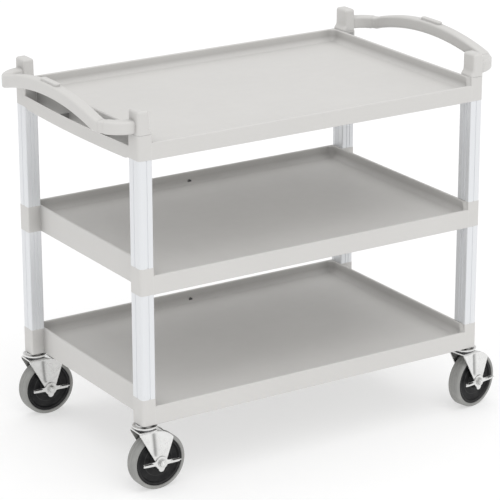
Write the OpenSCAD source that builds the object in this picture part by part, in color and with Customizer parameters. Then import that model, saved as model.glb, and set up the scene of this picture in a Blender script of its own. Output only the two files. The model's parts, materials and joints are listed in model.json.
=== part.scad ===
// Food service trolley: three moulded trays on four posts, two arched push handles,
// and four braked swivel casters.
// Origin on the floor under the middle of the trolley. +X runs along the trays,
// -Y is the side with the low tray lips, +Z is up.

/* [Trays] */
// Length of a tray over its end walls
tray_l = 812; // [700:1:900]
// Width of a tray over its front and back walls
tray_w = 536; // [480:1:600]
// Height of the end and back walls of the middle and bottom trays
wall_h = 60; // [54:1:70]
// Height of the end and back walls of the top tray
top_wall_h = 55; // [52:1:66]
// How far the front lip stays below the other walls
lip_drop = 18; // [10:1:20]
// Wall thickness
wall_t = 6; // [5:0.5:8]
// Depth of a tray's floor below its back wall
tray_depth = 27; // [24:1:32]
// Distance from one tray to the next
tray_pitch = 290; // [240:1:320]

/* [Posts] */
// Post size along the tray
post_w = 33; // [30:1:34]
// Post size across the tray
post_d = 42; // [40:1:44]
// Post wall thickness
post_t = 2.5; // [2:0.5:3]

/* [Handles] */
// How far the handle reaches beyond the posts
handle_reach = 67; // [60:1:78]
// Height of the handle bar
bar_h = 28; // [25:1:32]
// Thickness of the handle bar in plan
bar_t = 26; // [22:1:27]
// Rise of the grip at mid-span
grip_rise = 30; // [20:1:40]
// Height of the corner caps above the top tray's walls
cap_h = 50; // [40:1:56]

/* [Casters] */
// Wheel diameter
wheel_d = 127; // [120:1:130]
// Distance from the swivel axis back to the axle
trail = 26; // [24:1:30]
// Height of the bottom tray's lower edge above the floor
caster_h = 152; // [152:1:160]
// How far the brake tab is tilted up when the brake is off, in degrees
brake_tilt = 2; // [0:1:12]
// How far the front right caster is turned at rest, in degrees
fr_turn = 12; // [0:1:20]

/* [Hidden] */
$fn = 64;
CORNERS = ["fl", "fr", "bl", "br"];
FL = [-1, -1];
FR = [1, -1];
BL = [-1, 1];
BR = [1, 1];
ALL = [FL, FR, BL, BR];

fit = 0.08;                 // radial running clearance of pins and bushes
slip = 0.2;                 // clearance of parts that plug together
skin = 1;                   // overlap that joins one solid to the next

// Heights of the lower edges of the three trays
bottom_z = caster_h;
middle_z = bottom_z + tray_pitch;
top_z = middle_z + tray_pitch;
floor_t = 4;
cove = 9;                   // bevel between a tray's floor and its walls
rib_t = 3;
drain_r = 5;
drain_rise = 4.5;           // height of a drain's centre above the floor

// The posts stand outside the end walls and flush with the front and back walls
half_l = tray_l / 2;
half_w = tray_w / 2;
post_lap = 2.5;             // how far the sockets run into the end walls
post_x = half_l - post_lap + post_w / 2;
post_y = half_w - post_d / 2;
post_r = 8;                 // radius of the outward corner
edge_r = 3;                 // radius of the other corners
groove_w = 2;
groove_d = 0.8;
plug_w = post_w - 2 * post_t - slip;
plug_d = post_d - 2 * post_t - slip;
plug_t = 3;
plug_reach = 30;            // how far a plug goes into a post
screw_d = 4;
screw_hole_d = 4.4;
screw_head_d = 8;
screw_head_h = 2.4;

// The thin rail outside each end of the top tray, bowed outwards in plan
rail_t = 3;
rail_h = 26;
rail_drop = 3;              // how far it hangs below the sockets
rail_bow = 9;
rail_x = post_x + post_w / 2 - 0.5;     // its outer face at the sockets
rail_end_y = post_y - post_d / 2 + 8;
rail_r = (rail_end_y * rail_end_y + rail_bow * rail_bow) / (2 * rail_bow);

// In plan each handle is a bar bent round two wide corners
cap_w = post_w - 5.5;       // a cap is slimmer than its post on the inward side
foot_h = 8;                 // the cap's full-width foot
bar_z = top_z + top_wall_h + 1;
bend_inset = 7;             // how far inside a post's outer face the corners start
bend_x = post_x + post_w / 2 - bend_inset;
bend_r = handle_reach + bend_inset;
bar_half = half_w - 11;     // outer half width
joint_y = 205;              // where the grip meets the arms
joint_gap = 0.6;
grip_r = (joint_y * joint_y + grip_rise * grip_rise) / (2 * grip_rise);

// Caster stack, from the floor up
wheel_r = wheel_d / 2;
tyre_w = 30;
rim_r = wheel_r - 9;        // outer radius of the wheel core
plate_t = 7;
plate_r = 27;
race_r = 21;
race_t = 4.9;
fork_top = caster_h - plate_t - race_t - 0.1;
fork_t = 3;
fork_gap = 39;              // between the fork's legs
fork_outer = fork_gap / 2 + fork_t;
fork_front = -24;
crown_t = 4;
crown_knee = 18;            // where the crown starts to fall
kingpin_r = 6;
axle_r = 4;
stem_r = 5.5;
stem_len = 48;
lever_t = 2.2;
lever_y = -(fork_outer + 0.3);

// ---------------------------------------------------------------- outlines

// A rectangle with one rounded outward corner, towards +X +Y, and three small radii
module corner_outline(w, d, r_out, r_in) {
    union() {
        polygon([
            [w / 2, d / 2 - r_out], [w / 2 - r_out, d / 2],
            [-w / 2 + r_in, d / 2], [-w / 2, d / 2 - r_in],
            [-w / 2, -d / 2 + r_in], [-w / 2 + r_in, -d / 2],
            [w / 2 - r_in, -d / 2], [w / 2, -d / 2 + r_in]
        ]);
        translate([w / 2 - r_out, d / 2 - r_out]) circle(r_out);
        for (s = [[-1, 1], [-1, -1], [1, -1]])
            translate([s.x * (w / 2 - r_in), s.y * (d / 2 - r_in)]) circle(r_in);
    }
}

module post_outline() {
    corner_outline(post_w, post_d, post_r, edge_r);
}

module post_hollow() {
    corner_outline(post_w - 2 * post_t, post_d - 2 * post_t, post_r - post_t, edge_r - post_t + 1);
}

module plug_outline() {
    corner_outline(plug_w, plug_d, post_r - post_t, edge_r - post_t + 1);
}

// Puts a part drawn for the back right corner at corner c, mirrored to suit
module at_corner(c) {
    translate([c.x * post_x, c.y * post_y, 0])
        mirror([c.x < 0 ? 1 : 0, 0, 0])
            mirror([0, c.y < 0 ? 1 : 0, 0])
                children();
}

// Puts a part drawn for the right end at either end
module at_end(side) {
    mirror([side < 0 ? 1 : 0, 0, 0]) children();
}

// A shape drawn in X and Z, given a thickness along +Y from y
module upright(y, t) {
    translate([0, y + t, 0]) rotate([90, 0, 0]) linear_extrude(t) children();
}

// A cylinder along Y from y, centred on the X axis
module cross_pin(r, y, l) {
    translate([0, y + l, 0]) rotate([90, 0, 0]) cylinder(r = r, h = l);
}

// ---------------------------------------------------------------- trays

// Turns something drawn on a post's -Y side to the side that faces the rear of the trolley
module to_rear(c) {
    mirror([0, c.y > 0 ? 1 : 0, 0]) children();
}

// The hole for a corner screw, along Y through the rear side of the post at corner c
module screw_hole(c, z) {
    to_rear(c)
        translate([0, -post_d / 2 + post_t + plug_t + 2, z])
            rotate([90, 0, 0])
                cylinder(d = screw_hole_d, h = post_t + plug_t + 3);
}

module corner_socket(c, h) {
    difference() {
        linear_extrude(h) post_outline();
        translate([0, 0, -skin]) linear_extrude(h + 2 * skin) post_hollow();
        screw_hole(c, h / 2);
    }
}

// One wall of a tray, from one outside corner to the other along X
module long_wall(y, h) {
    translate([-half_l, y, 0]) cube([tray_l, wall_t, h]);
}

// A bevel along a wall's foot, with its right angle at the origin and running along +X
module cove_strip(l) {
    rotate([90, 0, 90])
        linear_extrude(l)
            polygon([[-skin, -skin], [cove, -skin], [cove, 0], [0, cove], [-skin, cove]]);
}

module tray_floor(floor_z) {
    inner_l = tray_l - 2 * wall_t;
    inner_w = tray_w - 2 * wall_t;
    translate([-half_l + skin, -half_w + skin, floor_z - floor_t])
        cube([tray_l - 2 * skin, tray_w - 2 * skin, floor_t]);
    translate([-inner_l / 2, inner_w / 2, floor_z]) mirror([0, 1, 0]) cove_strip(inner_l);
    for (side = [-1, 1])
        translate([side * inner_l / 2, -side * inner_w / 2, floor_z])
            rotate([0, 0, side * 90])
                cove_strip(inner_w);
}

// Stiffening ribs under a tray's floor
module floor_ribs(floor_z) {
    rib_bottom = 8;
    rib_h = floor_z - floor_t - rib_bottom + skin;
    for (y = [-0.5, 0, 0.5] * half_w)
        translate([-half_l + skin, y - rib_t / 2, rib_bottom])
            cube([tray_l - 2 * skin, rib_t, rib_h]);
    for (x = [-0.75, -0.25, 0.25, 0.75] * half_l)
        translate([x - rib_t / 2, -half_w + skin, rib_bottom])
            cube([rib_t, tray_w - 2 * skin, rib_h]);
}

// A tray standing on z = 0: low front lip, full back and end walls, four corner sockets
module tray_body(h) {
    floor_z = h - tray_depth;
    long_wall(half_w - wall_t, h);
    long_wall(-half_w, h - lip_drop);
    for (side = [-1, 1])
        translate([side * (half_l - wall_t / 2) - wall_t / 2, -half_w, 0])
            cube([wall_t, tray_w, h]);
    tray_floor(floor_z);
    floor_ribs(floor_z);
    for (c = ALL) at_corner(c) corner_socket(c, h);
}

// A tray with a drain hole at the foot of its back wall, halfway along
module drained_tray(h) {
    difference() {
        tray_body(h);
        translate([0, 0, h - tray_depth + drain_rise])
            cross_pin(drain_r + slip / 2, half_w - wall_t - cove - skin, wall_t + cove + 2 * skin);
    }
}

// A length of the rail's bowed band, out to end_y each way
module rail_band(z, h, end_y) {
    translate([0, 0, z])
        linear_extrude(h)
            intersection() {
                translate([rail_x + rail_bow - rail_r, 0])
                    difference() {
                        circle(rail_r, $fn = 720);
                        circle(rail_r - rail_t, $fn = 720);
                    }
                translate([half_l, -end_y]) square([2 * post_w, 2 * end_y]);
            }
}

// The rail that ties the two sockets of one end together, with two webs back to the end wall
module end_rail() {
    rail_band(0, rail_h, rail_end_y);
    rail_band(-rail_drop, rail_drop + skin, post_y - post_d / 2 - 0.5);
    for (y = [-1, 1] * 0.3 * half_w)
        translate([half_l - skin, y - rib_t / 2, 0])
            cube([rail_x + rail_bow - rail_t - half_l + skin, rib_t, rail_h - 8]);
}

module top_tray() {
    color("gainsboro")
        translate([0, 0, top_z]) {
            tray_body(top_wall_h);
            for (side = [-1, 1])
                at_end(side) difference() {
                    end_rail();
                    for (y = [-1, 1] * post_y)
                        translate([post_x, y, 0])
                            cube([post_w - 2 * skin, post_d - 2 * skin, 3 * rail_h], center = true);
                }
        }
}

module middle_tray() {
    color("gainsboro") translate([0, 0, middle_z]) drained_tray(wall_h);
}

module bottom_tray() {
    color("gainsboro") translate([0, 0, bottom_z]) drained_tray(wall_h);
}

// Plugs that close the drain holes, with a flange behind the wall
module drain_plugs() {
    flange_t = 1.6;
    plug_l = wall_t + 3;
    color("dimgray")
        for (z = [middle_z, bottom_z])
            translate([0, 0, z + wall_h - tray_depth + drain_rise]) {
                cross_pin(drain_r, half_w - plug_l, plug_l + flange_t);
                cross_pin(drain_r + 2.5, half_w, flange_t);
            }
}

// ---------------------------------------------------------------- posts

// A hollow post with two grooves down each inward side and one down each outward side
module post(l) {
    color("whitesmoke")
        linear_extrude(l)
            difference() {
                post_outline();
                post_hollow();
                for (y = [-6, 2])
                    translate([-post_w / 2, y]) square([2 * groove_d, groove_w], center = true);
                for (x = [-4, 4])
                    translate([x, -post_d / 2]) square([groove_w, 2 * groove_d], center = true);
                translate([-3, post_d / 2]) square([groove_w, 2 * groove_d], center = true);
                translate([post_w / 2, -4]) square([2 * groove_d, groove_w], center = true);
            }
}

module upper_post(c) {
    at_corner(c) translate([0, 0, middle_z + wall_h]) post(tray_pitch - wall_h);
}

module lower_post(c) {
    at_corner(c) translate([0, 0, bottom_z + wall_h]) post(tray_pitch - wall_h);
}

module plug_tube(l) {
    difference() {
        linear_extrude(l) plug_outline();
        translate([0, 0, -skin])
            linear_extrude(l + 2 * skin)
                corner_outline(plug_w - 2 * plug_t, plug_d - 2 * plug_t, post_r - post_t - plug_t, 0.5);
    }
}

// Tubes inside the middle tray's sockets that join the lower posts to the upper ones
module post_couplings() {
    color("silver")
        for (c = ALL)
            at_corner(c) difference() {
                translate([0, 0, middle_z - plug_reach]) plug_tube(wall_h + 2 * plug_reach);
                screw_hole(c, middle_z + wall_h / 2);
            }
}

// Plugs in the bottom tray's sockets and the lower posts, bored for the caster stems
module stem_sockets() {
    color("dimgray")
        for (c = ALL)
            at_corner(c) difference() {
                translate([0, 0, bottom_z]) linear_extrude(wall_h + plug_reach) plug_outline();
                translate([0, 0, bottom_z - skin]) cylinder(r = stem_r + slip / 2, h = stem_len + 2 * skin);
                screw_hole(c, bottom_z + wall_h / 2);
            }
}

// Screws through the sockets' rear sides, one at every corner of every tray
module corner_screws() {
    grip_len = post_t + plug_t;
    heights = [bottom_z + wall_h / 2, middle_z + wall_h / 2, top_z + top_wall_h / 2];
    color("silver")
        for (c = ALL, z = heights)
            at_corner(c) to_rear(c) translate([0, -post_d / 2, z]) rotate([90, 0, 0]) {
                cylinder(d = screw_head_d, h = screw_head_h);
                translate([0, 0, -grip_len]) cylinder(d = screw_d, h = grip_len + skin);
            }
}

// ---------------------------------------------------------------- handles

// Outer line of the handle in plan, less t all round
module bend_plan(t) {
    end_y = bar_half - bend_r;
    for (y = [-1, 1] * end_y)
        translate([bend_x, y]) circle(bend_r - t);
    translate([bend_x - bend_r, -end_y]) square([2 * bend_r - t, 2 * end_y]);
    translate([bend_x - bend_r, -bar_half + t]) square([bend_r, 2 * (bar_half - t)]);
}

// The bar in plan, an even band from one corner cap round to the other
module bar_plan() {
    difference() {
        bend_plan(0);
        bend_plan(bar_t);
    }
}

// A corner cap with its plug down through the socket and into the post, and its handle arm
module corner_cap(c) {
    color("gainsboro") {
        at_corner(c) {
            translate([0, 0, top_z + top_wall_h]) {
                linear_extrude(foot_h) post_outline();
                translate([(post_w - cap_w) / 2, 0, 0])
                    linear_extrude(cap_h) corner_outline(cap_w, post_d, post_r, edge_r + 2);
            }
            difference() {
                translate([0, 0, top_z - plug_reach])
                    linear_extrude(top_wall_h + plug_reach + skin) plug_outline();
                translate([0, 0, top_z - plug_reach - skin])
                    linear_extrude(top_wall_h + plug_reach - 4)
                        corner_outline(plug_w - 2 * plug_t, plug_d - 2 * plug_t,
                                       post_r - post_t - plug_t, 0.5);
                screw_hole(c, top_z + top_wall_h / 2);
            }
        }
        mirror([c.x < 0 ? 1 : 0, 0, 0])
            mirror([0, c.y < 0 ? 1 : 0, 0])
                translate([0, 0, bar_z])
                    linear_extrude(bar_h)
                        intersection() {
                            bar_plan();
                            translate([post_x + 6, joint_y + joint_gap / 2]) square(2 * bend_r);
                        }
    }
}

// The arched bar between two arms
module arched_bar() {
    intersection() {
        translate([0, 0, bar_z - 1])
            linear_extrude(bar_h + grip_rise + 2)
                intersection() {
                    bar_plan();
                    translate([bend_x, -joint_y + joint_gap / 2])
                        square([2 * bend_r, 2 * joint_y - joint_gap]);
                }
        translate([bend_x, 0, bar_z])
            rotate([90, 0, 90])
                linear_extrude(2 * bend_r)
                    difference() {
                        translate([0, bar_h + grip_rise - grip_r]) circle(grip_r, $fn = 180);
                        translate([0, grip_rise - grip_r]) circle(grip_r, $fn = 180);
                    }
    }
}

// A grip: the arched bar with a raised oval pad on its crown
module grip(side) {
    pad = [13, 70];
    pad_h = 5.5;
    sunk = 4;
    color("gainsboro")
        at_end(side) {
            arched_bar();
            translate([bend_x + bend_r - bar_t / 2, 0, bar_z + bar_h + grip_rise - sunk])
                linear_extrude(sunk + pad_h) {
                    square([pad.x, pad.y - pad.x], center = true);
                    for (s = [-1, 1])
                        translate([0, s * (pad.y - pad.x) / 2]) circle(d = pad.x);
                }
        }
}

// ---------------------------------------------------------------- casters

// Casters all trail towards +X, so they are placed without mirroring
module at_post(c) {
    translate([c.x * post_x, c.y * post_y, 0]) children();
}

module at_swivel(c) {
    turn = c == FR ? fr_turn : 0;
    at_post(c) rotate([0, 0, turn]) children();
}

module at_axle(c) {
    at_swivel(c) translate([trail, 0, wheel_r]) children();
}

// Caster stem, its round plate under the tray and the kingpin the fork turns on
module stem(c) {
    head_r = 10;
    head_t = 3;
    pin_bottom = fork_top - crown_t - 0.3;
    color("silver")
        at_post(c) {
            translate([0, 0, caster_h - skin]) cylinder(r = stem_r, h = stem_len + skin);
            translate([0, 0, caster_h - plate_t]) cylinder(r = plate_r, h = plate_t);
            translate([0, 0, pin_bottom - head_t])
                cylinder(r = kingpin_r, h = caster_h - plate_t - pin_bottom + head_t + skin);
            translate([0, 0, pin_bottom - head_t]) cylinder(r = head_r, h = head_t);
        }
}

// Bearing housing between the plate and the fork
module race(c) {
    color("dimgray")
        at_swivel(c) difference() {
            translate([0, 0, fork_top]) cylinder(r = race_r, h = race_t);
            translate([0, 0, fork_top - skin]) cylinder(r = kingpin_r + fit, h = 30);
        }
}

// One leg of the fork, in X and Z from the swivel axis
module fork_leg_outline() {
    hub_r = 14;
    shoulder = [57, fork_top - 24];
    difference() {
        union() {
            polygon([
                [fork_front, fork_top], [fork_front, fork_top - 6],
                [trail - hub_r + 0.7, wheel_r + 4], [trail + hub_r - 0.7, wheel_r + 4],
                shoulder, [shoulder.x - 7, shoulder.y + 9], [crown_knee, fork_top]
            ]);
            translate([trail, wheel_r]) circle(hub_r);
        }
        translate([trail, wheel_r]) circle(axle_r + 0.1);
    }
}

// The fork's crown from the side: flat under the race, then falling over the wheel
module crown_outline() {
    crown_end = 36;
    fall = 8.4;
    polygon([
        [fork_front, fork_top - crown_t], [fork_front, fork_top], [crown_knee, fork_top],
        [crown_end, fork_top - fall], [crown_end, fork_top - fall - 2.8], [crown_knee, fork_top - crown_t]
    ]);
}

// The fold pressed into the outside of a leg
module crease_outline() {
    polygon([[6, fork_top - 6], [11, fork_top - 6], [15.5, wheel_r + 17], [12.5, wheel_r + 17]]);
}

module fork(c) {
    crease_d = 1.4;
    color("silver")
        at_swivel(c) {
            for (s = [-1, 1])
                difference() {
                    upright(s * (fork_gap + fork_t) / 2 - fork_t / 2, fork_t) fork_leg_outline();
                    upright(s * fork_outer - crease_d, 2 * crease_d) crease_outline();
                }
            difference() {
                upright(-fork_outer, 2 * fork_outer) crown_outline();
                translate([0, 0, fork_top - crown_t - skin])
                    cylinder(r = kingpin_r + fit, h = crown_t + 2 * skin);
            }
        }
}

// Axle bolt from the fork's +Y side out through the brake lever and the nut
module axle_bolt(c) {
    head_t = 5;
    tip = lever_y - lever_t - 8;
    color("silver")
        at_axle(c) {
            cross_pin(axle_r, tip, fork_outer - tip + skin);
            translate([0, fork_outer + head_t, 0]) rotate([90, 0, 0]) cylinder(d = 15, h = head_t, $fn = 6);
        }
}

module axle_nut(c) {
    nut_t = 6.5;
    color("silver")
        at_axle(c)
            translate([0, lever_y - lever_t - 0.1, 0]) rotate([90, 0, 0]) difference() {
                cylinder(d = 15, h = nut_t, $fn = 6);
                translate([0, 0, -skin]) cylinder(r = axle_r + 0.05, h = nut_t + 2 * skin);
            }
}

// Half of the wheel's core in section: radius across, width up
module core_section() {
    hub_r = 17;
    hub_w = 18.5;
    web_w = 11;
    lip_w = 14;
    bore = 6.05;
    polygon([
        [bore, -hub_w], [hub_r, -hub_w], [hub_r + 3, -web_w], [rim_r - 8, -web_w],
        [rim_r - 5, -lip_w], [rim_r, -lip_w], [rim_r, lip_w], [rim_r - 5, lip_w],
        [rim_r - 8, web_w], [hub_r + 3, web_w], [hub_r, hub_w], [bore, hub_w]
    ]);
}

module wheel_core(c) {
    color([0.08, 0.08, 0.08]) at_axle(c) rotate([90, 0, 0]) rotate_extrude() core_section();
}

// Grey tread ring with rounded shoulders
module tyre(c) {
    shoulder = 4;
    inner = rim_r + 0.05;
    color("gray")
        at_axle(c) rotate([90, 0, 0]) rotate_extrude() union() {
            translate([inner, -tyre_w / 2]) square([wheel_r - inner - shoulder, tyre_w]);
            translate([inner + 2, -tyre_w / 2 + shoulder])
                square([wheel_r - inner - 2, tyre_w - 2 * shoulder]);
            for (s = [-1, 1])
                translate([wheel_r - shoulder, s * (tyre_w / 2 - shoulder)]) circle(shoulder);
        }
}

module hub_bush(c) {
    half = fork_gap / 2 - 0.3;
    color("silver")
        at_axle(c) difference() {
            cross_pin(6, -half, 2 * half);
            cross_pin(axle_r + fit, -half - skin, 2 * half + 2 * skin);
        }
}

// Brake lever on the axle: a plate with an arm each way, a bent tab on each arm and a lobe below
module brake_lever(c) {
    tab_out = 9;
    arm_end = 44;
    arm_h = 9;
    tab_l = 20;
    color("silver")
        at_axle(c) rotate([0, brake_tilt, 0]) difference() {
            union() {
                upright(lever_y - lever_t, lever_t) {
                    circle(14.5);
                    translate([0, -13]) circle(6.5);
                    translate([-arm_end, -arm_h / 2]) square([2 * arm_end, arm_h]);
                }
                for (x = [-arm_end, arm_end - tab_l])
                    translate([x, lever_y - lever_t - tab_out + skin, arm_h / 2 - 2])
                        cube([tab_l, tab_out, 2]);
            }
            cross_pin(axle_r + fit, lever_y - lever_t - skin, lever_t + 2 * skin);
        }
}

// ---------------------------------------------------------------- what is drawn

top_tray();
middle_tray();
bottom_tray();
upper_post(FL);  // upper_post_fl
upper_post(FR);  // upper_post_fr
upper_post(BL);  // upper_post_bl
upper_post(BR);  // upper_post_br
lower_post(FL);  // lower_post_fl
lower_post(FR);  // lower_post_fr
lower_post(BL);  // lower_post_bl
lower_post(BR);  // lower_post_br
corner_cap(FL);  // corner_cap_fl
corner_cap(FR);  // corner_cap_fr
corner_cap(BL);  // corner_cap_bl
corner_cap(BR);  // corner_cap_br
grip(-1);  // grip_left
grip(1);  // grip_right
post_couplings();
stem_sockets();
corner_screws();
drain_plugs();
stem(FL);  // stem_fl
stem(FR);  // stem_fr
stem(BL);  // stem_bl
stem(BR);  // stem_br
race(FL);  // race_fl
race(FR);  // race_fr
race(BL);  // race_bl
race(BR);  // race_br
fork(FL);  // fork_fl
fork(FR);  // fork_fr
fork(BL);  // fork_bl
fork(BR);  // fork_br
axle_bolt(FL);  // axle_bolt_fl
axle_bolt(FR);  // axle_bolt_fr
axle_bolt(BL);  // axle_bolt_bl
axle_bolt(BR);  // axle_bolt_br
axle_nut(FL);  // axle_nut_fl
axle_nut(FR);  // axle_nut_fr
axle_nut(BL);  // axle_nut_bl
axle_nut(BR);  // axle_nut_br
wheel_core(FL);  // wheel_core_fl
wheel_core(FR);  // wheel_core_fr
wheel_core(BL);  // wheel_core_bl
wheel_core(BR);  // wheel_core_br
tyre(FL);  // tyre_fl
tyre(FR);  // tyre_fr
tyre(BL);  // tyre_bl
tyre(BR);  // tyre_br
hub_bush(FL);  // hub_bush_fl
hub_bush(FR);  // hub_bush_fr
hub_bush(BL);  // hub_bush_bl
hub_bush(BR);  // hub_bush_br
brake_lever(FL);  // brake_lever_fl
brake_lever(FR);  // brake_lever_fr
brake_lever(BL);  // brake_lever_bl
brake_lever(BR);  // brake_lever_br
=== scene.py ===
import json
import math

import bmesh
import bpy
from mathutils import Matrix, Vector


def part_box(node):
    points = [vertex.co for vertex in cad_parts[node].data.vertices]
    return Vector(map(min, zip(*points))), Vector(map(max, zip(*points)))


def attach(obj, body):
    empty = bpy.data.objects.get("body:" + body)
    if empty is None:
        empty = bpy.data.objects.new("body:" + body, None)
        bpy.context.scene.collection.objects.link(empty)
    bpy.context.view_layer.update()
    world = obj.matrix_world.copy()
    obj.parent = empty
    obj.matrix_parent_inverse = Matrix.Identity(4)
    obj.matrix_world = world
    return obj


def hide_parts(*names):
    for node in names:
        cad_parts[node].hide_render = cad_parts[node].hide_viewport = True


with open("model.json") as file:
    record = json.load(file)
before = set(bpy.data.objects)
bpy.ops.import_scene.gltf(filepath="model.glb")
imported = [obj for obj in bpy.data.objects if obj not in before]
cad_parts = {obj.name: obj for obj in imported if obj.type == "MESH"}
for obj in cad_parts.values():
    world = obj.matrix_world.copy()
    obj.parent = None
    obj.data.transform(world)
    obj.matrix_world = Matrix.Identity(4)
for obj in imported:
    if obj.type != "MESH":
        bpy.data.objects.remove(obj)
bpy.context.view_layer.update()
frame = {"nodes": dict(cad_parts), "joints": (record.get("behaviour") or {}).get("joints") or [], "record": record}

# Sizes are in metres. Places come from the CAD nodes' boxes and joints.
MM = 0.001
CORNERS = {"fl": (-1, -1), "fr": (1, -1), "bl": (-1, 1), "br": (1, 1)}
TRAYS = ("top_tray", "middle_tray", "bottom_tray")

# Posts and trays
POST_LO, POST_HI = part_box("upper_post_br")
POST_W = POST_HI.x - POST_LO.x
POST_D = POST_HI.y - POST_LO.y
POST_X = (POST_LO.x + POST_HI.x) / 2
POST_Y = (POST_LO.y + POST_HI.y) / 2
POST_R = 8 * MM             # outward corner
EDGE_R = 3 * MM             # the other three corners
POST_SHY = 0.5 * MM         # how far a post's faces sit inside a socket's
HALF_L = POST_LO.x + 2.5 * MM
HALF_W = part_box("middle_tray")[1].y
WALL = 6 * MM
TRAY_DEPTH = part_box("top_tray")[1].z - frame["record"]["mounts"][0]["pos_m"][2]
LIP_DROP = 18 * MM
FLOOR_T = 4 * MM

# Handles
CAP_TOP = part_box("corner_cap_br")[1].z
TOP_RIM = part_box("top_tray")[1].z
GRIP_LO, GRIP_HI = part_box("grip_right")
BAR_Z = GRIP_LO.z
BAR_H = 28 * MM
BAR_T = 26 * MM
BAR_R = 6 * MM
JOINT_Y = GRIP_HI.y
PAD_H = 5.5 * MM            # the oval pad on a grip's crown
GRIP_RISE = GRIP_HI.z - PAD_H - BAR_Z - BAR_H
BEND_X = POST_HI.x - 7 * MM     # BEND_X, BEND_Y is the centre of the bend from an arm into its grip
BEND_R = GRIP_HI.x - BEND_X
BEND_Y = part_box("corner_cap_br")[1].y - 11 * MM - BEND_R
JOINT_ANGLE = math.asin((JOINT_Y - BEND_Y) / (BEND_R - BAR_T / 2))

# Casters
JOINTS = {j["name"]: j for j in frame["joints"]}
WHEEL_R = JOINTS["wheel_spin_fl"]["pos_m"][2]
TRAIL = JOINTS["wheel_spin_fl"]["pos_m"][0] - JOINTS["swivel_turn_fl"]["pos_m"][0]
FORK_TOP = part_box("fork_fl")[1].z
FORK_OUTER = 22.5 * MM
LEG_HUB_R = 14 * MM         # the round end of a fork leg, about the axle
SHEET_T = 3 * MM
FOLD_DEPTH = 2.4 * MM
TYRE_W = 30 * MM
RIM_R = WHEEL_R - 9 * MM
BOLT_R = 4 * MM
HEX_W = 15 * MM             # bolt head and nut, over their corners
LEVER_Y = -(FORK_OUTER + 0.3 * MM)
LEVER_T = 2.2 * MM
LEVER_ARM = 44 * MM
LEVER_HALF = 4.5 * MM       # half an arm's height
BRAKE_TILT = math.radians(2)


# ---------------------------------------------------------------- mesh helpers

def smoothstep(t):
    t = min(max(t, 0.0), 1.0)
    return t * t * (3 - 2 * t)


def mix(a, b, t):
    return a + (b - a) * t


def arc(cx, cy, r, start, end, steps):
    """Points on an arc, angles in degrees, both ends included."""
    angles = [math.radians(mix(start, end, i / steps)) for i in range(steps + 1)]
    return [(cx + r * math.cos(a), cy + r * math.sin(a)) for a in angles]


def rounded_rect(x0, x1, y0, y1, r, steps=4):
    """A rounded rectangle between two corners, as points round from its upper right."""
    return (arc(x1 - r, y1 - r, r, 0, 90, steps) + arc(x0 + r, y1 - r, r, 90, 180, steps)
            + arc(x0 + r, y0 + r, r, 180, 270, steps) + arc(x1 - r, y0 + r, r, 270, 360, steps))


def loft(bm, rings, closed=False):
    """Skins a list of equal-length rings of points. Ends are capped unless closed joins last to first."""
    made = [[bm.verts.new(p) for p in ring] for ring in rings]
    n = len(made[0])
    pairs = list(zip(made, made[1:])) + ([(made[-1], made[0])] if closed else [])
    for a, b in pairs:
        for i in range(n):
            bm.faces.new((a[i], a[(i + 1) % n], b[(i + 1) % n], b[i]))
    if not closed:
        bm.faces.new(made[0][::-1])
        bm.faces.new(made[-1])


def lathe(bm, profile, matrix, segments=72):
    """Turns a closed profile of (radius, offset) about the Y axis, then places it with matrix."""
    turns = [2 * math.pi * i / segments for i in range(segments)]
    rings = [[matrix @ Vector((r * math.cos(a), o, r * math.sin(a))) for r, o in profile] for a in turns]
    loft(bm, rings, closed=True)
    bmesh.ops.remove_doubles(bm, verts=bm.verts, dist=1e-6)


def add_shape(bm, part, matrix):
    """Adds a finished shape to bm, placed with matrix."""
    part.transform(matrix)
    scratch = bpy.data.meshes.new("scratch")
    part.to_mesh(scratch)
    part.free()
    bm.from_mesh(scratch)
    bpy.data.meshes.remove(scratch)


def block(bm, lo, hi):
    """A rectangular block between two corners."""
    ring = [(lo[0], lo[1]), (hi[0], lo[1]), (hi[0], hi[1]), (lo[0], hi[1])]
    loft(bm, [[(x, y, z) for x, y in ring] for z in (lo[2], hi[2])])


def soften(bm, radius, steps=3, over=40):
    """Rounds every edge sharper than the angle over."""
    bmesh.ops.recalc_face_normals(bm, faces=bm.faces[:])
    sharp = [e for e in bm.edges if e.is_manifold and e.calc_face_angle(0) > math.radians(over)]
    bmesh.ops.bevel(bm, geom=sharp, offset=radius, segments=steps, profile=0.5,
                    affect="EDGES", clamp_overlap=True)


def piece(name, bm, body, slot, node):
    """Makes an object of bm that stands for a CAD node, moves with its body and has its slot's look."""
    sharp_over = 42
    bmesh.ops.recalc_face_normals(bm, faces=bm.faces[:])
    mesh = bpy.data.meshes.new(name)
    bm.to_mesh(mesh)
    bm.free()
    mesh.polygons.foreach_set("use_smooth", [True] * len(mesh.polygons))
    mesh.set_sharp_from_angle(angle=math.radians(sharp_over))
    mesh.materials.append(LOOKS[slot])
    obj = bpy.data.objects.new(name, mesh)
    bpy.context.scene.collection.objects.link(obj)
    weighted = obj.modifiers.new("normals", "WEIGHTED_NORMAL")
    weighted.keep_sharp = True
    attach(obj, body)
    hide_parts(node)


# ---------------------------------------------------------------- material helpers

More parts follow.
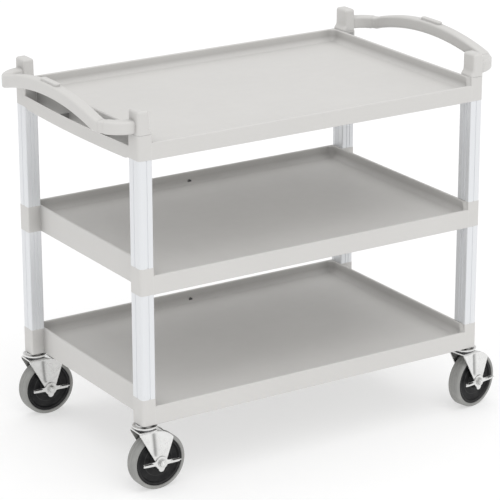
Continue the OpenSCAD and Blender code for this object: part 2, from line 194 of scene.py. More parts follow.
class Look:
    """A node material under construction: add() makes a node and links or sets its inputs."""

    def __init__(self, name):
        self.material = bpy.data.materials.new(name)
        self.material.use_nodes = True
        self.tree = self.material.node_tree
        self.shader = self.tree.nodes["Principled BSDF"]
        self.where = self.add("ShaderNodeTexCoord").outputs["Object"]

    def add(self, kind, inputs=None, **props):
        node = self.tree.nodes.new(kind)
        for key, value in props.items():
            setattr(node, key, value)
        self.feed(node, inputs or {})
        return node

    def feed(self, node, inputs):
        for key, value in inputs.items():
            if isinstance(value, bpy.types.NodeSocket):
                self.tree.links.new(value, node.inputs[key])
            else:
                node.inputs[key].default_value = value

    def noise(self, scale, detail=2.0, stretch=None):
        """Noise with features of about 1 / scale metres, drawn out along the axes in stretch."""
        where = self.where
        if stretch:
            where = self.add("ShaderNodeMapping", {"Vector": where, "Scale": stretch}).outputs[0]
        made = self.add("ShaderNodeTexNoise", {"Vector": where, "Scale": scale, "Detail": detail})
        return made.outputs["Fac"]

    def levels(self, value, low, high, to_low, to_high):
        """Maps value from low..high to to_low..to_high, clamped."""
        made = self.add("ShaderNodeMapRange", {
            "Value": value, "From Min": low, "From Max": high, "To Min": to_low, "To Max": to_high})
        return made.outputs["Result"]

    def mixed(self, amount, a, b, blend="MIX"):
        """Two colours mixed. A colour mix's sockets are 0 for the amount, 6 and 7 for the colours."""
        inputs = {0: amount, 6: a, 7: b}
        return self.add("ShaderNodeMix", inputs, data_type="RGBA", blend_type=blend).outputs[2]

    def shade(self, colour, amount):
        """The colour multiplied by a grey amount."""
        return self.mixed(1.0, colour, amount, "MULTIPLY")

    def tint(self, below, above, amount):
        """A blend from the colour below to the colour above."""
        return self.mixed(amount, below, above)

    def edges(self, radius, strength):
        """0 on flat faces, rising to strength along rounded edges."""
        bevel = self.add("ShaderNodeBevel", {"Radius": radius}, samples=4)
        flat = self.add("ShaderNodeNewGeometry").outputs["True Normal"]
        match = self.add("ShaderNodeVectorMath", {0: bevel.outputs[0], 1: flat}, operation="DOT_PRODUCT")
        return self.levels(match.outputs["Value"], 0.999, 0.9, 0.0, strength)

    def painted_crevice_shade(self, reach, darkest):
        """Painted shade: 1 in the open, falling to darkest in corners within reach, from ambient occlusion."""
        made = self.add("ShaderNodeAmbientOcclusion", {"Distance": reach}, samples=6)
        return self.levels(made.outputs["AO"], 0.3, 0.9, darkest, 1.0)

    def within(self, lo, hi, blur):
        """1 inside a box given for the back right quarter and mirrored to the others, 0 outside it."""
        place = self.add("ShaderNodeVectorMath", {0: self.where}, operation="ABSOLUTE").outputs[0]
        axes = self.add("ShaderNodeSeparateXYZ", {0: place}).outputs
        inside = 1.0
        for axis, low, high in zip(axes, lo, hi):
            for edge, start, end in ((low, 0, 1), (high, 1, 0)):
                step = self.levels(axis, edge - blur, edge + blur, start, end)
                inside = self.add("ShaderNodeMath", {0: inside, 1: step}, operation="MULTIPLY").outputs[0]
        return inside

    def bump(self, layers):
        """Bump from a list of (height, strength, distance)."""
        normal = None
        for height, strength, distance in layers:
            inputs = {"Height": height, "Strength": strength, "Distance": distance}
            if normal:
                inputs["Normal"] = normal
            normal = self.add("ShaderNodeBump", inputs).outputs[0]
        self.feed(self.shader, {"Normal": normal})

    def finish(self, **inputs):
        self.feed(self.shader, {key.replace("_", " "): value for key, value in inputs.items()})
        return self.material


def moulded_plastic(name, colour, grain=1300, roughness=0.46, darkest=0.55):
    """Satin moulded plastic: fine grain, faint flow mottling, duller scuffs, paler edges that are partly wear and
    partly painted highlight, painted shade in corners.

    Painted shade darkens the channels between the top tray's end walls and rails."""
    look = Look(name)
    mottle = look.levels(look.noise(7, 4), 0.3, 0.7, 0.985, 1.012)
    scuff = look.levels(look.noise(16, 5, (1, 9, 3)), 0.62, 0.72, 0.0, 1.0)
    # Painted shade: ambient occlusion darkens the colour in corners and crevices.
    base = look.shade(look.shade(colour, mottle), look.painted_crevice_shade(0.05, darkest))
    # Painted shade: a box mask darkens the channels between the top tray's end walls and rails to a third.
    far = (POST_HI.x - 4 * MM, POST_Y - POST_D / 2, TOP_RIM - 4 * MM)
    channel_shade = look.within((HALF_L, -10 * MM, POST_HI.z), far, 1 * MM)
    base = look.shade(base, look.levels(channel_shade, 0, 1, 1.0, 0.33))
    # Paler rounded edges, partly wear and partly painted highlight.
    worn_and_highlit = look.tint(base, (0.80, 0.80, 0.79, 1), look.edges(1.6 * MM, 0.35))
    rough = look.levels(look.noise(40, 3), 0.3, 0.7, roughness - 0.04, roughness + 0.06)
    rougher = look.add("ShaderNodeMath", {0: rough, 1: look.levels(scuff, 0, 1, 0.0, 0.08)}, operation="ADD")
    look.bump([(look.noise(grain, 2), 0.16, 0.3 * MM), (look.noise(260, 3), 0.1, 0.3 * MM)])
    return look.finish(Base_Color=worn_and_highlit, Roughness=rougher.outputs[0], Specular_IOR_Level=0.4)


def anodised_post():
    """Cool near-white satin metal with fine lengthwise draw lines."""
    look = Look("post_metal")
    lines = look.noise(900, 3, (1, 1, 0.012))
    base = look.shade((0.78, 0.795, 0.815, 1), look.levels(lines, 0.3, 0.7, 0.975, 1.0))
    smudge = look.levels(look.noise(12, 4, (1, 1, 0.4)), 0.35, 0.75, 0.30, 0.40)
    look.bump([(lines, 0.12, 0.15 * MM)])
    return look.finish(Base_Color=base, Metallic=0.25, Roughness=smudge, Specular_IOR_Level=0.5)


def zinc_plate(name, colour, roughness):
    """Bright plated steel with faint clouding, fine scratches, painted shade in corners and painted shade along
    pressed folds.
    """
    look = Look(name)
    cloud = look.noise(90, 4)
    scratch = look.noise(420, 3, (1, 0.08, 0.4))
    # Painted shade: ambient occlusion darkens the colour in tight corners.
    base = look.shade(look.shade(colour, look.levels(cloud, 0.3, 0.7, 0.9, 1.0)), look.painted_crevice_shade(0.006, 0.55))
    # Painted shade along the fork's pressed fold, from the fold amount kept on the vertices.
    fold = look.add("ShaderNodeAttribute", attribute_name="fold").outputs["Fac"]
    base = look.shade(base, look.levels(fold, 0, 1, 1.0, 0.45))
    dull = look.levels(cloud, 0.3, 0.7, roughness - 0.06, roughness + 0.1)
    look.bump([(scratch, 0.15, 0.1 * MM), (look.noise(60, 2), 0.08, 0.4 * MM)])
    return look.finish(Base_Color=base, Metallic=1.0, Roughness=dull)


def black_core():
    """Black moulded wheel core with a dull bloom and paler edges, partly wear and partly painted highlight."""
    look = Look("core_plastic")
    bloom = look.levels(look.noise(70, 5), 0.42, 0.75, 0.0, 1.0)
    base = look.tint((0.006, 0.006, 0.007, 1), (0.022, 0.022, 0.022, 1), bloom)
    # Paler rounded edges, partly wear and partly painted highlight.
    worn_and_highlit = look.tint(base, (0.10, 0.10, 0.10, 1), look.edges(0.8 * MM, 0.4))
    rough = look.levels(look.noise(140, 3), 0.3, 0.7, 0.38, 0.58)
    look.bump([(look.noise(900, 2), 0.2, 0.2 * MM), (look.noise(160, 2), 0.12, 0.5 * MM)])
    return look.finish(Base_Color=worn_and_highlit, Roughness=rough, Specular_IOR_Level=0.25)


def grey_tread():
    """Grey non-marking rubber: matt, with patches of pale dust."""
    look = Look("grey_tread")
    dust = look.levels(look.noise(55, 5), 0.45, 0.75, 0.0, 0.5)
    base = look.tint((0.31, 0.31, 0.30, 1), (0.41, 0.405, 0.39, 1), dust)
    rough = look.levels(look.noise(200, 3), 0.3, 0.7, 0.62, 0.82)
    look.bump([(look.noise(1200, 3), 0.3, 0.25 * MM), (look.noise(120, 3), 0.15, 0.4 * MM)])
    return look.finish(Base_Color=base, Roughness=rough, Specular_IOR_Level=0.35)


LOOKS = {
    "tray_plastic": moulded_plastic("tray_plastic", (0.652, 0.642, 0.625, 1)),
    "post_metal": anodised_post(),
    "bright_steel": zinc_plate("bright_steel", (0.83, 0.83, 0.82, 1), 0.28),
    "dark_steel": zinc_plate("dark_steel", (0.42, 0.42, 0.43, 1), 0.36),
    "core_plastic": black_core(),
    "grey_tread": grey_tread(),
    "plug_plastic": moulded_plastic("plug_plastic", (0.10, 0.10, 0.10, 1), 900, 0.55),
}


# ---------------------------------------------------------------- outlines

def corner_outline(w, d, r_out, r_in, grooves=None):
    """A rectangle centred on 0,0 as points anticlockwise from its wide corner, at +X +Y.

    grooves holds, for each side in the order +Y, -X, -Y, +X, where along it the grooves lie."""
    grooves = grooves or ((), (), (), ())
    half, depth, bevel = 1.1 * MM, 1.1 * MM, 0.4 * MM
    corners = [(w / 2 - r_out, d / 2 - r_out, r_out), (-w / 2 + r_in, d / 2 - r_in, r_in),
               (-w / 2 + r_in, -d / 2 + r_in, r_in), (w / 2 - r_in, -d / 2 + r_in, r_in)]
    loop = []
    for side, (cx, cy, r) in enumerate(corners):
        loop += arc(cx, cy, r, 90 * side, 90 * side + 90, 8)
        a = math.radians(180 + 90 * side)
        along = Vector((math.cos(a), math.sin(a)))
        out = Vector((along.y, -along.x))
        face = out * (d / 2 if side % 2 == 0 else w / 2)
        for place in grooves[side]:
            for step, drop in ((-half - bevel, 0), (-half, depth), (half, depth), (half + bevel, 0)):
                p = face + along * (place + step) - out * drop
                loop.append((p.x, p.y))
    return loop


def inset_outline(inset):
    """The post's outline, pulled in all round."""
    least_r = 0.6 * MM
    small_r = max(EDGE_R - inset, least_r)
    return corner_outline(POST_W - 2 * inset, POST_D - 2 * inset, POST_R - inset, small_r)


def at_corner(loop, signs, z):
    """A loop drawn for the back right corner, mirrored to its own corner at height z."""
    sx, sy = signs
    return [(sx * (POST_X + x), sy * (POST_Y + y), z) for x, y in loop]


# ---------------------------------------------------------------- trays

def tray_loop(half_x, half_y, r, along_x, along_y):
    """A rounded rectangle as points, each with its inward direction and how far the wall has dropped there.

    The drop is 1 along the front, 0 along the other sides and rises from one to the other in the corners."""
    reach_x, reach_y = half_x - r, half_y - r
    corners = [Vector((reach_x, reach_y)), Vector((-reach_x, reach_y)),
               Vector((-reach_x, -reach_y)), Vector((reach_x, -reach_y))]
    points = []
    for side, centre in enumerate(corners):
        for i in range(9):
            a = math.radians(90 * side + 90 * i / 8)
            out = Vector((math.cos(a), math.sin(a)))
            drop = (0.0, 0.0, smoothstep(i / 4), smoothstep((8 - i) / 4))[side]
            points.append((centre + out * r, -out, drop))
        a = math.radians(90 * side + 90)
        out = Vector((math.cos(a), math.sin(a)))
        for t in (along_x if side % 2 == 0 else along_y):
            middle = centre.lerp(corners[(side + 1) % 4], (t + 1) / 2)
            points.append((middle + out * r, -out, 1.0 if side == 2 else 0.0))
    return points


def tray_shell(bm, z_low, z_high):
    """The moulded tray: straight outside, round rim, low front lip, coved floor, hollow underneath."""
    outer_r, inner_r, under_r = 1 * MM, 13 * MM, 4 * MM
    wide_cove, lip_cove = 12 * MM, 4 * MM
    foot, edge = 1.2 * MM, 1 * MM
    rim_r = WALL / 2
    floor_z = z_high - TRAY_DEPTH
    along_x = [0.1 * i for i in range(-9, 10)]
    along_y = [0.2 * i for i in range(-4, 5)]
    outer = tray_loop(HALF_L, HALF_W, outer_r, along_x, along_y)
    inner = tray_loop(HALF_L - WALL, HALF_W - WALL, inner_r, along_x, along_y)
    under = tray_loop(HALF_L - WALL, HALF_W - WALL, under_r, along_x, along_y)
    rings = []

    def ring(z_of, point_of):
        rings.append([(*point_of(i), z_of(i)) for i in range(len(outer))])

    def rim_z(i):
        return z_high - rim_r - LIP_DROP * inner[i][2]

    def cove(i):
        return mix(wide_cove, lip_cove, inner[i][2])

    ring(lambda i: z_low, lambda i: outer[i][0] + outer[i][1] * foot)
    ring(lambda i: z_low + foot, lambda i: outer[i][0])
    for step in range(9):
        a = math.pi * step / 8
        across = (1 - math.cos(a)) / 2
        ring(lambda i: rim_z(i) + rim_r * math.sin(a), lambda i: outer[i][0].lerp(inner[i][0], across))
    for step in range(9):
        a = math.pi / 2 * step / 8
        ring(lambda i: floor_z + cove(i) * (1 - math.sin(a)),
             lambda i: inner[i][0] + inner[i][1] * cove(i) * (1 - math.cos(a)))
    top = len(rings) - 1
    ring(lambda i: floor_z - FLOOR_T, lambda i: under[i][0])
    ring(lambda i: z_low + edge, lambda i: under[i][0])
    ring(lambda i: z_low, lambda i: under[i][0] - under[i][1] * edge)
    made = [[bm.verts.new(p) for p in r] for r in rings]
    n = len(outer)

    def skin(a, b):
        for i in range(n):
            bm.faces.new((made[a][i], made[a][(i + 1) % n], made[b][(i + 1) % n], made[b][i]))

    for a in range(top):
        skin(a, a + 1)
    for a in range(top + 1, len(rings) - 1):
        skin(a, a + 1)
    skin(len(rings) - 1, 0)
    bm.faces.new(made[top])
    bm.faces.new(made[top + 1][::-1])


def tray_sockets(bm, z_low, z_high):
    """The four sleeves that take the posts, with softened ends."""
    foot, head = 1.2 * MM, 1.6 * MM
    rings = [(z_low, foot), (z_low + foot, 0), (z_high - head, 0),
             (z_high - 0.5 * MM, 0.5 * MM), (z_high, head)]
    for signs in CORNERS.values():
        loft(bm, [at_corner(inset_outline(inset), signs, z) for z, inset in rings])


def tray_ribs(bm, z_low, z_high):
    """Stiffening ribs in the hollow under the floor."""
    half_t, clear = 1.5 * MM, 8 * MM
    end_x, end_y = HALF_L - WALL / 2, HALF_W - WALL / 2
    z0, z1 = z_low + clear, z_high - TRAY_DEPTH - FLOOR_T / 2
    for y in (-0.5 * HALF_W, 0, 0.5 * HALF_W):
        block(bm, (-end_x, y - half_t, z0), (end_x, y + half_t, z1))
    for x in (-0.75 * HALF_L, -0.25 * HALF_L, 0.25 * HALF_L, 0.75 * HALF_L):
        block(bm, (x - half_t, -end_y, z0), (x + half_t, end_y, z1))


def end_rails(bm, z_low):
    """The thin bowed rail outside each end of the top tray, with two webs back to the wall."""
    thick, tall, edge_r = 3 * MM, 26 * MM, 1.2 * MM
    crown_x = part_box("top_tray")[1].x
    socket_y = POST_Y - POST_D / 2
    end_y = socket_y + 8 * MM
    drop, drop_run = z_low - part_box("top_tray")[0].z, 14 * MM
    bow = crown_x - POST_HI.x + 0.5 * MM
    radius = (end_y ** 2 + bow ** 2) / (2 * bow)
    web_y, web_half = 0.3 * HALF_W, 1.5 * MM
    for side in (-1, 1):
        rings = []
        for i in range(-60, 61):
            y = end_y * i / 60
            x = crown_x - radius + math.sqrt(radius ** 2 - y ** 2)
            low = z_low - drop * smoothstep((socket_y - abs(y)) / drop_run)
            section = rounded_rect(x - thick, x, low, z_low + tall, edge_r)
            rings.append([(side * a, y, z) for a, z in section])
        loft(bm, rings)
        for y in (-web_y, web_y):
            block(bm, (side * (HALF_L - WALL / 2), y - web_half, z_low + 1 * MM),
                  (side * (crown_x - thick), y + web_half, z_low + tall - 8 * MM))


def build_trays():
    """The three trays. The top one stands on the upper posts and has the end rails."""
    for node in TRAYS:
        lo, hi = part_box(node)
        z_low = POST_HI.z if node == "top_tray" else lo.z
        bm = bmesh.new()
        tray_shell(bm, z_low, hi.z)
        tray_ribs(bm, z_low, hi.z)
        tray_sockets(bm, z_low, hi.z)
        if node == "top_tray":
            end_rails(bm, z_low)
        piece(node + "_moulding", bm, "frame", "tray_plastic", node)


# ---------------------------------------------------------------- posts and screws

def build_posts():
    """Extruded posts: two grooves on each inward face and one beside the wide corner on each outward face."""
    grooves = ((2 * MM,), (-6 * MM, 3 * MM), (-4 * MM, 4 * MM), (-2 * MM,))
    shy, buried = 2 * POST_SHY, 1 * MM
    outline = corner_outline(POST_W - shy, POST_D - shy, POST_R - POST_SHY, EDGE_R - POST_SHY, grooves)
    for level in ("upper", "lower"):
        for corner, signs in CORNERS.items():
            node = f"{level}_post_{corner}"
            lo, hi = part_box(node)
            bm = bmesh.new()
            loft(bm, [at_corner(outline, signs, z) for z in (lo.z - buried, hi.z + buried)])
            piece(node + "_extrusion", bm, "frame", "post_metal", node)


def build_screws():
    """Domed cross-head screws on the rear side of every socket."""
    head_r, head_h, shank_r, shank_end = 4 * MM, 2.4 * MM, 2 * MM, -5.4 * MM
    dish, cross_half, cross_w = head_h - 0.4 * MM, 1.7 * MM, 0.35 * MM
    dome = [(0, 0), (0, dish), (1.2 * MM, dish), (1.6 * MM, head_h), (3 * MM, 0.8 * head_h),
            (head_r, 0.3 * head_h), (head_r, 0), (shank_r, 0), (shank_r, shank_end), (0, shank_end)]
    bm = bmesh.new()
    for node in TRAYS:
        lo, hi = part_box(node)
        for sx, sy in CORNERS.values():
            place = Matrix.Translation((sx * POST_X, sy * POST_Y + POST_D / 2, (lo.z + hi.z) / 2))
            lathe(bm, dome, place, 28)
            for turn in (0, 90):
                bar = bmesh.new()
                block(bar, (-cross_half, head_h - 1.2 * MM, -cross_w),
                      (cross_half, head_h - 0.15 * MM, cross_w))
                add_shape(bm, bar, place @ Matrix.Rotation(math.radians(turn), 4, "Y"))
    piece("corner_screw_heads", bm, "frame", "dark_steel", "corner_screws")


# ---------------------------------------------------------------- handles

def bar_section(shrink=0.0):
    """The bar's rounded cross-section as (outward, up) from its centre."""
    w, h = BAR_T / 2 - shrink, BAR_H / 2 - shrink
    return rounded_rect(-w, w, -h, h, BAR_R - shrink, 8)


def rise_at(y):
    """How far the grip stands above the arms, on an arc through both joints."""
    if abs(y) >= JOINT_Y:
        return 0.0
    radius = (JOINT_Y ** 2 + GRIP_RISE ** 2) / (2 * GRIP_RISE)
    return GRIP_RISE - (radius - math.sqrt(radius ** 2 - y ** 2))


def bend_point(angle, sy):
    """A point of the bar's centre line on a bend, and the outward direction there."""
    out = Vector((math.cos(angle), sy * math.sin(angle)))
    return Vector((BEND_X, sy * BEND_Y)) + out * (BEND_R - BAR_T / 2), out


def bar_ring(place, out, side, section):
    z = BAR_Z + BAR_H / 2 + rise_at(place.y)
    return [(side * (place.x + out.x * a), place.y + out.y * a, z + b) for a, b in section]


def grip_pad(bm, centre_x):
    """The raised oval pad on a grip's crown, with rounded edges."""
    r, half = 6.5 * MM, 28.5 * MM
    steps = [(PAD_H + 2 * MM, 0), (1.8 * MM, 0), (0.9 * MM, 0.2 * MM), (0.3 * MM, 0.8 * MM), (0, 1.8 * MM)]
    rings = []
    for down, inset in steps:
        loop = arc(0, half, r - inset, 0, 180, 14) + arc(0, -half, r - inset, 180, 360, 14)
        rings.append([(centre_x + x, y, GRIP_HI.z - down) for x, y in loop])
    loft(bm, rings)


def build_grips():
    """The arched grips, each with an oval pad on its crown."""
    crown_x = BEND_X + BEND_R - BAR_T / 2
    for name, side in (("left", -1), ("right", 1)):
        path = [bend_point(JOINT_ANGLE * (1 - i / 6), -1) for i in range(6)]
        path += [(Vector((crown_x, BEND_Y * i / 60)), Vector((1, 0))) for i in range(-60, 61)]
        path += [bend_point(JOINT_ANGLE * i / 6, 1) for i in range(1, 7)]
        rings = []
        for i, (place, out) in enumerate(path):
            shrink = 0.8 * MM if i in (0, len(path) - 1) else 0.0
            rings.append(bar_ring(place, out, side, bar_section(shrink)))
        bm = bmesh.new()
        loft(bm, rings)
        grip_pad(bm, side * crown_x)
        piece(f"grip_{name}_moulding", bm, "frame", "tray_plastic", f"grip_{name}")


def cap_outline(narrow, inset):
    """The post's outline, narrowed on its inward X side and pulled in all round."""
    w, d = POST_W - narrow - 2 * inset, POST_D - 2 * inset
    loop = corner_outline(w, d, POST_R - inset, EDGE_R + 3 * MM - inset)
    return [(x + narrow / 2, y) for x, y in loop]


def build_caps():
    """Corner caps with a flared foot and a domed top, each with its arm out to the grip."""
    height = CAP_TOP - TOP_RIM
    slim, plug_inset, neck, neck_shrink = 5.5 * MM, 2.7 * MM, 0.2, 1.2 * MM
    # How far up, how much of slim it has narrowed by, and how far it is pulled in all round
    flare = [(0, 0, 0), (3 * MM, 0, 0), (4.5 * MM, 0.14, 0), (6.5 * MM, 0.42, 0), (9 * MM, 0.75, 0.2 * MM),
             (12 * MM, 0.94, 0.4 * MM), (16 * MM, 1, 0.5 * MM), (height - 6 * MM, 1, 0.7 * MM),
             (height - 3.6 * MM, 1, 1.3 * MM), (height - 1.8 * MM, 1, 2.5 * MM),
             (height - 0.5 * MM, 1, 4.2 * MM), (height, 1, 5.9 * MM)]
    for corner, (sx, sy) in CORNERS.items():
        node = f"corner_cap_{corner}"
        plug_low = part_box(node)[0].z
        bm = bmesh.new()
        loft(bm, [at_corner(cap_outline(slim * share, inset), (sx, sy), TOP_RIM + z)
                  for z, share, inset in flare])
        loft(bm, [at_corner(inset_outline(plug_inset), (sx, sy), z) for z in (plug_low, TOP_RIM + 1 * MM)])
        rings = []
        for angle, shrink in ((0, neck_shrink), (neck, neck_shrink), (neck + 0.01, 0.3 * MM)):
            rings.append(bar_ring(*bend_point(JOINT_ANGLE + angle, sy), sx, bar_section(shrink)))
        start = JOINT_ANGLE + neck + 0.03
        for i in range(13):
            rings.append(bar_ring(*bend_point(mix(start, math.pi / 2, i / 12), sy), sx, bar_section()))
        root = Vector((BEND_X - 4 * MM, sy * (BEND_Y + BEND_R - BAR_T / 2)))
        rings.append(bar_ring(root, Vector((0, sy)), sx, bar_section()))
        loft(bm, rings)
        piece(node + "_moulding", bm, "frame", "tray_plastic", node)


# ---------------------------------------------------------------- casters

def caster_frame(corner):
    """The matrix from a caster's own frame (floor under the swivel, +X trailing) to the trolley's."""
    place = JOINTS[f"swivel_turn_{corner}"]["pos_m"]
    axis = JOINTS[f"wheel_spin_{corner}"]["axis"]
    turn = math.atan2(-axis[0], axis[1])
    return Matrix.Translation((place[0], place[1], 0)) @ Matrix.Rotation(turn, 4, "Z")


def upright_lathe(bm, profile, matrix, segments=72):
    """Turns a closed profile of (radius, height) about the vertical."""
    lathe(bm, profile, matrix @ Matrix.Rotation(math.pi / 2, 4, "X"), segments)


def stem_and_plate(bm, place):
    """Round plate with a rolled edge, its stem up into the socket and the kingpin down through the crown."""
    stem_r, pin_r, head_r, head_h, plate_r = 5.5 * MM, 6 * MM, 10 * MM, 3 * MM, 27 * MM
    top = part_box("bottom_tray")[0].z
    plate_low = top - 7 * MM
    pin_low, stem_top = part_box("stem_fl")[0].z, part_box("stem_fl")[1].z
    profile = [(0, pin_low), (head_r - 1.5 * MM, pin_low), (head_r, pin_low + 1.2 * MM),
               (head_r, pin_low + head_h), (pin_r, pin_low + head_h), (pin_r, plate_low),
               (plate_r - 2.2 * MM, plate_low),
               (plate_r - 0.5 * MM, plate_low + 0.7 * MM), (plate_r, plate_low + 2.2 * MM),
               (plate_r - 0.5 * MM, plate_low + 3.8 * MM), (plate_r - 3 * MM, plate_low + 4.4 * MM),
               (plate_r - 7 * MM, plate_low + 4.6 * MM), (plate_r - 9 * MM, top - 0.2 * MM),
               (stem_r, top - 0.2 * MM), (stem_r, stem_top - 1.5 * MM), (stem_r - 1.5 * MM, stem_top),
               (0, stem_top)]
    upright_lathe(bm, profile, place)


def race_housing(bm, place):
    """Bearing housing: a ring with a rolled waist."""
    bore_r, r, edge = 6.1 * MM, 21 * MM, 1 * MM
    lo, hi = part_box("race_fl")[0].z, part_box("race_fl")[1].z
    profile = [(bore_r, lo), (r - edge, lo), (r, lo + edge), (r - 1.1 * MM, (lo + hi) / 2), (r, hi - edge),
               (r - edge, hi), (bore_r, hi)]
    upright_lathe(bm, profile, place)


def leg_edges(z):
    """Front and back edges of a fork leg at height z, in X from the swivel axis."""
    waist = WHEEL_R + 4 * MM
    shoulder_x, shoulder_z = 57 * MM, FORK_TOP - 24 * MM
    front_x, back_x = -24 * MM, 18 * MM
    if z < waist:
        half = math.sqrt(max(LEG_HUB_R ** 2 - (z - WHEEL_R) ** 2, 0))
        return TRAIL - half, TRAIL + half
    half = math.sqrt(LEG_HUB_R ** 2 - (waist - WHEEL_R) ** 2)
    t = min((z - waist) / (FORK_TOP - 6 * MM - waist), 1)
    front = mix(TRAIL - half, front_x, t)
    if z < shoulder_z:
        back = mix(TRAIL + half, shoulder_x, (z - waist) / (shoulder_z - waist))
    else:
        t = (z - shoulder_z) / (FORK_TOP - shoulder_z)
        back = mix(shoulder_x, back_x, 0.35 * t + 0.65 * t * t)
    return front, back


def crown_fall(x):
    """How far the crown has dropped at x, over the wheel."""
    level_to, slope = 18 * MM, 0.464
    return max(x - level_to, 0) * slope


def fold_at(x, z):
    """How much of the fork leg's pressed fold there is at x and z, from 0 to 1."""
    half_w = 4.5 * MM
    low, high = WHEEL_R + 14 * MM, FORK_TOP - 3 * MM
    line = mix(14 * MM, 9 * MM, (z - low) / (high - low))
    ends = smoothstep((z - low) / (9 * MM)) * smoothstep((high - z) / (6 * MM))
    return ends * math.exp(-((x - line) / half_w) ** 2)


def fork_stamping(bm, place):
    """The fork as one stamped sheet: legs with a fold, rounded shoulders and a falling crown."""
    bend, columns = 5 * MM, 72
    flat = FORK_OUTER - bend
    crown = (leg_edges(FORK_TOP - bend)[0], 36 * MM)

    def ring(y, z, edges, out_y, out_z):
        """The sheet's section at one station, from its outside point (y, z) and the way it faces there."""
        outside = []
        for i in range(columns + 1):
            x = mix(*edges, i / columns)
            fold = FOLD_DEPTH * fold_at(x, z) * out_y
            outside.append(Vector((x, y - fold, z - crown_fall(x) * out_z)))
        thick = Vector((0, out_y, out_z)) * SHEET_T
        return [place @ p for p in outside] + [place @ (p - thick) for p in reversed(outside)]

    def leg(side):
        hub = [WHEEL_R - (LEG_HUB_R - 0.1 * MM) * math.cos(math.pi / 2 * i / 12) for i in range(12)]
        rest = [mix(WHEEL_R, FORK_TOP - bend, i / 30) for i in range(30)]
        return [ring(side * FORK_OUTER, z, leg_edges(z), side, 0) for z in hub + rest]

    def shoulder(side):
        rings = []
        for i in range(9):
            a = math.pi / 2 * i / 8
            front, back = leg_edges(FORK_TOP - bend)
            edges = (front, mix(back, crown[1], math.sin(a)))
            y, z = flat + bend * math.cos(a), FORK_TOP - bend + bend * math.sin(a)
            rings.append(ring(side * y, z, edges, side * math.cos(a), math.sin(a)))
        return rings

    across = [ring(flat * i / 5, FORK_TOP, crown, 0, 1) for i in range(-4, 5)]
    loft(bm, leg(-1) + shoulder(-1) + across + shoulder(1)[::-1] + leg(1)[::-1])
    # The fold amount on each vertex, read by the plated steel material for its painted shade along the fold.
    fold_shade_layer = bm.verts.layers.float.new("fold")
    for v in bm.verts:
        at = place.inverted() @ v.co
        v[fold_shade_layer] = fold_at(at.x, at.z)


def tyre(bm, axle):
    """Round-shouldered tread with two fine grooves, from a profile of (radius, offset)."""
    half, shoulder_r = TYRE_W / 2, 5 * MM
    groove = WHEEL_R - 0.7 * MM
    upper = [(RIM_R + 0.05 * MM, half - 1.5 * MM), (RIM_R + 1.2 * MM, half)]
    upper += arc(WHEEL_R - shoulder_r, half - shoulder_r, shoulder_r, 90, 0, 9)
    upper += [(WHEEL_R, 5 * MM), (groove, 4.6 * MM), (groove, 4 * MM), (WHEEL_R, 3.6 * MM)]
    lathe(bm, upper + [(r, -o) for r, o in reversed(upper)], axle, 120)


def wheel_core(bm, axle):
    """Wheel core: hub boss, dished web with a step, and rim, from a profile of (radius, offset)."""
    bore_r, boss_h, rim_h = 6.05 * MM, 18.5 * MM, 14 * MM
    boss = [(bore_r, boss_h), (15.5 * MM, boss_h), (17 * MM, boss_h - 1.5 * MM), (18.5 * MM, 12.5 * MM)]
    web = [(21 * MM, 10.6 * MM), (33 * MM, 10 * MM), (34 * MM, 9.2 * MM), (44 * MM, 9 * MM)]
    rim = [(46.5 * MM, 9.6 * MM), (48.5 * MM, 12.6 * MM), (50 * MM, rim_h - 0.1 * MM),
           (RIM_R - 0.8 * MM, rim_h), (RIM_R, rim_h - 0.8 * MM)]
    upper = boss + web + rim
    lathe(bm, upper + [(r, -o) for r, o in reversed(upper)], axle, 96)


def hexagon(bm, place, across, y0, y1, chamfer):
    """A hexagonal head along Y, across wide over its corners, chamfered at its outer face y1."""
    def ring(r, y):
        return [place @ Vector((x, y, z)) for x, z in arc(0, 0, r, 0, 300, 5)]

    r = across / 2
    inward = chamfer if y1 > y0 else -chamfer
    loft(bm, [ring(r, y0), ring(r, y1 - inward), ring(r - chamfer, y1)])


def lever_outline():
    """The lever's plate about the axle: a disc, an arm each way and a lobe below, blended together."""
    disc, lobe_r, lobe_z, blend, steps, tiny = 14.5 * MM, 6.5 * MM, 13 * MM, 7, 144, 1e-6
    loop = []
    for i in range(steps):
        a = 2 * math.pi * i / steps
        c, s = math.cos(a), math.sin(a)
        tip = LEVER_ARM / max(abs(c), tiny)
        reach = min(tip, LEVER_HALF / max(abs(s), tiny))
        inside = lobe_r ** 2 - (lobe_z * c) ** 2
        lobe = -lobe_z * s + math.sqrt(inside) if inside > 0 else 0.0
        r = min((disc ** blend + reach ** blend + max(lobe, 0) ** blend) ** (1 / blend), tip)
        loop.append((r * c, r * s))
    return loop


def brake_lever(bm, place):
    """Stamped lever with a bent tab on each arm, drawn about the axle."""
    y0, y1 = LEVER_Y - LEVER_T, LEVER_Y
    plate = bmesh.new()
    loft(plate, [[(x, y, z) for x, z in lever_outline()] for y in (y0, y1)])
    soften(plate, 0.5 * MM, 2, 50)
    add_shape(bm, plate, place)
    bend, thick = 3 * MM, 2 * MM
    tab_y, lip_y = y0 + 0.6 * MM, y0 - 8 * MM
    outer = arc(tab_y - bend, LEVER_HALF - bend, bend, 0, 90, 6)
    inner = arc(tab_y - bend, LEVER_HALF - bend, bend - thick, 90, 0, 6)
    lip = [(lip_y, LEVER_HALF), (lip_y, LEVER_HALF - thick)]
    low = LEVER_HALF - bend - 2 * MM
    section = [(tab_y, low)] + outer + lip + inner + [(tab_y - thick, low)]
    root, tip = 24 * MM, LEVER_ARM - 0.3 * MM
    for start, end in ((-tip, -root), (root, tip)):
        tab = bmesh.new()
        loft(tab, [[(x, y, z) for y, z in section] for x in (start, end)])
        soften(tab, 0.4 * MM, 2, 60)
        add_shape(bm, tab, place)


